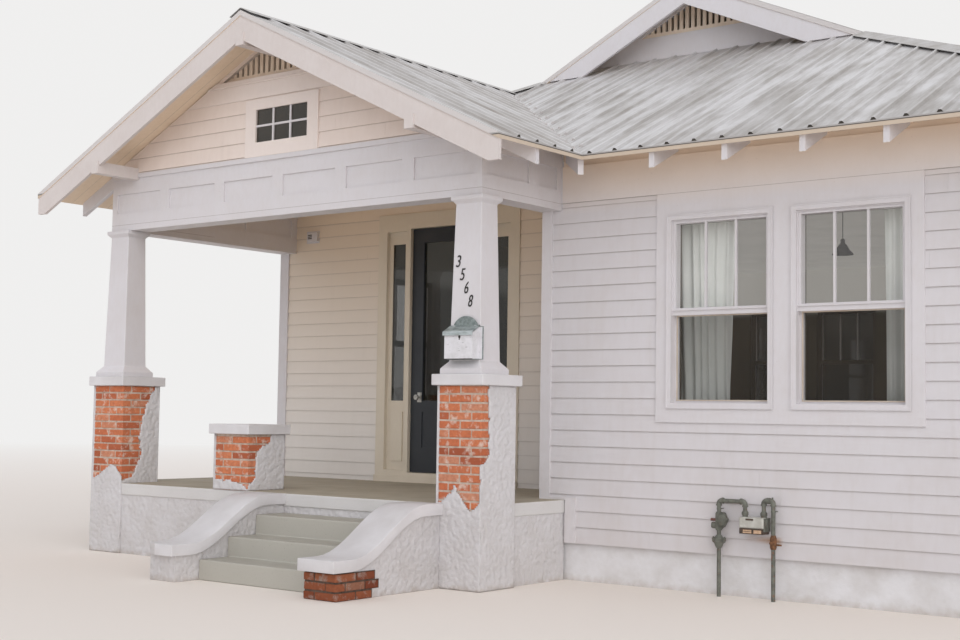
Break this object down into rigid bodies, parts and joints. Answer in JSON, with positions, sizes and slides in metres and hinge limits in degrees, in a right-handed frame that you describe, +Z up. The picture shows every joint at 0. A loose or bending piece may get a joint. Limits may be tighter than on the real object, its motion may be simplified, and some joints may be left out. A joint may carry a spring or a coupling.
{
  "type": "bungalow",
  "caption": "Wooden bungalow with a hipped ribbed-metal roof, a gabled front porch on tapered columns and brick piers, a hinged front door and a mailbox with a hinged lid.",
  "frame": {"origin": "middle of the building's outline, from eave to eave and from the toe of the step walls to the back eave, on the ground", "axes": "+X to the right along the front, +Y to the back, +Z up"},
  "size_m": [9.7454, 12.4327, 5.6164],
  "materials": {
    "siding": "painted off-white lap siding",
    "trim": "white gloss paint, peeling in places",
    "stucco": "painted stucco, broken away in places",
    "brick": "fired brick with white mortar",
    "porch_concrete": "grey painted concrete",
    "step_concrete": "worn painted concrete",
    "roof_metal": "bare galvanised ribbed sheet",
    "ceiling_board": "painted boards",
    "floor_wood": "varnished boards",
    "glass": "clear pane",
    "door_paint": "dark satin paint",
    "door_metal": "satin",
    "dark_metal": "dark paint",
    "pipe_metal": "weathered grey paint with rust",
    "mailbox_paint": "white paint",
    "mailbox_lid_paint": "grey-green paint",
    "curtain_cloth": "light cloth"
  },
  "bodies": {
    "house": {"foundation": "stucco", "house_floor": "floor_wood", "front_wall": "siding", "entry_wall_left": "siding", "entry_wall_right": "siding", "entry_wall_middle": "siding", "return_wall": "siding", "left_wall": "siding", "right_wall": "siding", "back_wall": "siding", "ceiling": "ceiling_board", "corner_boards": "trim", "front_windows": "trim", "side_windows": "trim", "window_glass": "glass", "door_frame": "trim", "porch_slab": "porch_concrete", "porch_base": "stucco", "brick_piers": "brick", "porch_columns": "trim", "porch_beams": "trim", "porch_ceiling": "ceiling_board", "gable_wall": "siding", "gable_window": "trim", "gable_vents": "trim", "rake_boards": "trim", "left_slope": "roof_metal", "porch_slope": "roof_metal", "front_slope": "roof_metal", "right_slope": "roof_metal", "back_slope": "roof_metal", "roof_gables": "trim", "rafter_tails": "trim", "ridge_caps": "roof_metal", "steps": "step_concrete", "cheek_walls": "stucco", "mailbox": "mailbox_paint", "house_numbers": "dark_metal", "gas_meter": "pipe_metal", "pendant_lamp": "dark_metal", "curtains": "curtain_cloth"},
    "front_door": {"front_door": "door_paint", "door_glass": "glass", "door_handle": "door_metal"},
    "mailbox_lid": {"mailbox_lid": "mailbox_lid_paint"}
  },
  "joints": [
    {"name": "front_door_hinge", "type": "hinge", "parent": "house", "child": "front_door", "pos_m": [-1.635, -2.6167, 1.5], "axis": [0, 0, -1], "range_deg": [0, 90]},
    {"name": "mailbox_lid_hinge", "type": "hinge", "parent": "house", "child": "mailbox_lid", "pos_m": [-0.0385, -4.98711, 1.986], "axis": [-1, 0, 0], "range_deg": [0, 95]}
  ]
}
